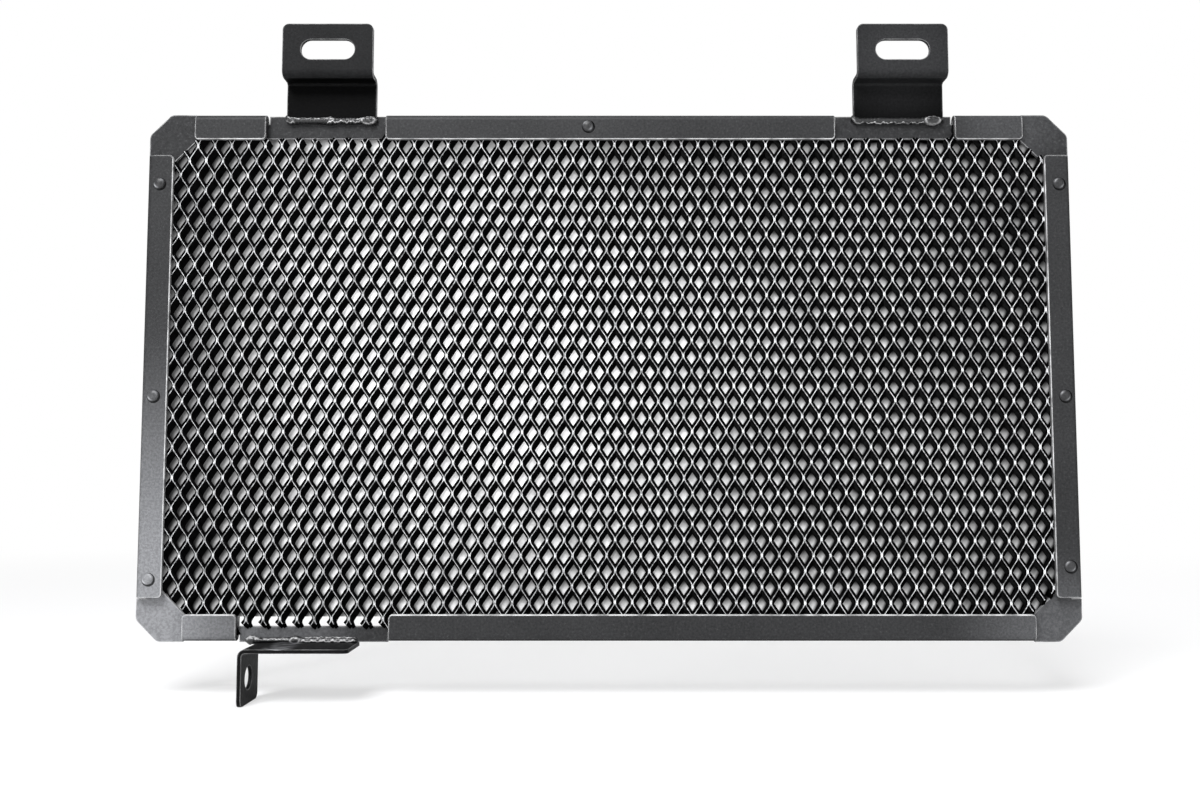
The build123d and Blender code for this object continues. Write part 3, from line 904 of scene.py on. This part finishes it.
def buildFloor(look):
    # White paper that keeps shadows near the guard and turns to plain white away from it.
    half = look["floorHalf"]
    z = cadLow.z
    corners = [(-half, -half, z), (half, -half, z), (half, half, z), (-half, half, z)]
    wire = startStage("floor", corners)[1]
    away = wire.vectors("DISTANCE", objectPlace(wire), guardMiddle, out="Value")
    seen = wire.add("ShaderNodeLightPath", out="Is Camera Ray")
    share = seen * away.span(look["glowNear"], look["glowFar"], look["glowLeast"], 1.0)
    paper = wire.add("ShaderNodeBsdfDiffuse", None, {"Color": grey(look["floorTone"])})
    glow = wire.add("ShaderNodeEmission", None, {"Color": grey(1.0), "Strength": 1.0})
    surface = wire.add("ShaderNodeMixShader", None, {0: share, 1: paper, 2: glow})
    closeTree(surface, "ShaderNodeOutputMaterial")


def paintedCellLight(wire, place, x, z, left, look):
    # Painted light and shadow of the panel's cells: 1 low in each cell, and 0 in its top and along its lower
    # sides. Rising and falling count the panel's diagonals, so both run from 0 to 1 across a cell.
    across = x * (0.5 / (panelSet["strandPitch"] * mm))
    upward = z * (0.5 / (panelSet["tipPitch"] * mm))
    rising, falling = wire.maths("FRACT", across + upward), wire.maths("FRACT", across - upward)
    tilt = look["tilt"] * (noiseOn(wire, place, look["tiltSize"], 2.0) - 0.5)
    slant = x.span(left, 0.0, look["slant"], 0.0) + tilt
    height = rising - falling - slant * (rising + falling - 1)
    lowEdge = wire.maths("MINIMUM", rising, 1 - falling)
    return height.span(*look["open"], 1.0, 0.0) * lowEdge.span(*look["lowEdge"])


def buildBackdrop(look):
    # A pale sheet at the panel's front side, shown to the camera alone and only from the rear, with light
    # and shade
    # painted on it: it fades away from a painted pool of light, and the further off, the more each of the
    # panel's cells carries a painted shadow. It also glows.
    y = cadHigh.y + look["gap"] * mm
    left, right = (frameLow[0] + look["inset"]) * mm, (frameHigh[0] - look["inset"]) * mm
    low, high = (frameLow[2] + look["foot"]) * mm, (frameHigh[2] - look["inset"]) * mm
    corners = [(left, y, low), (right, y, low), (right, y, high), (left, y, high)]
    backdrop, wire = startStage("backdrop", corners)
    place = objectPlace(wire)
    x, z = axisOf(wire, place, 0), axisOf(wire, place, 2)
    away = farFrom(wire, place, look["middle"], look["steep"])
    near, far = (v * mm for v in look["reach"])
    cell = paintedCellLight(wire, place, x, z, left, look)
    shade = 1 - away.span(near, far, *look["shade"]) * (1 - cell)
    reach, leftTone = look["left"]
    lit = away.span(near, far, *look["tones"]) * x.span(left, left + reach * mm, leftTone, 1.0)
    endsNear, endsFar, endsTone = look["ends"]
    lit = lit * away.span(endsNear * mm, endsFar * mm, 1.0, endsTone)
    blotch = noiseOn(wire, place, look["blotchSize"]).span(*look["blotch"])
    grain = noiseOn(wire, place, look["grainSize"]).span(*look["grain"])
    colour = (shade * lit * blotch * grain).blend(grey(0.0), grey(1.0))
    matt = wire.add("ShaderNodeBsdfDiffuse", None, {"Color": colour})
    glow = wire.add("ShaderNodeEmission", None, {"Color": colour, "Strength": look["glow"]})
    paper = wire.add("ShaderNodeAddShader", None, {0: matt, 1: glow})
    clear = wire.add("ShaderNodeBsdfTransparent")
    behind = wire.add("ShaderNodeNewGeometry", out="Backfacing")
    surface = wire.add("ShaderNodeMixShader", None, {0: behind, 1: paper, 2: clear})
    closeTree(surface, "ShaderNodeOutputMaterial")
    backdrop.visible_diffuse = False
    backdrop.visible_glossy = False
    backdrop.visible_transmission = False
    backdrop.visible_shadow = False


def buildWorld(look):
    # White where the camera looks at it, softer where it lights the guard.
    world = bpy.data.worlds.new("studio")
    world.use_nodes = True
    world.node_tree.nodes.clear()
    wire = Wire(world.node_tree)
    seen = wire.add("ShaderNodeLightPath", out="Is Camera Ray")
    glossy = wire.add("ShaderNodeLightPath", out="Is Glossy Ray")
    through = wire.add("ShaderNodeLightPath", out="Is Transmission Ray")
    mirrored = wire.maths("MAXIMUM", glossy, through)
    level = look["world"] + (1 - look["world"]) * seen + look["mirrored"] * mirrored
    glow = wire.add("ShaderNodeBackground", None, {"Color": grey(1.0), "Strength": level})
    closeTree(glow, "ShaderNodeOutputWorld")
    scene.world = world


def buildLamp(name, look, target, colour):
    data = bpy.data.lights.new(name, "AREA")
    data.size = look["size"]
    data.energy = look["power"]
    data.color = colour
    lamp = bpy.data.objects.new(name, data)
    lamp.location = look["place"]
    toward = target - lamp.location
    lamp.rotation_euler = toward.to_track_quat("-Z", "Y").to_euler()
    lamp.visible_camera = False
    scene.collection.objects.link(lamp)


buildFloor(studioSet)
buildBackdrop(sheetSet)
buildWorld(studioSet)
for name, look in lamps.items():
    buildLamp(name, look, guardMiddle, studioSet["lampColour"])
print("studio lit")
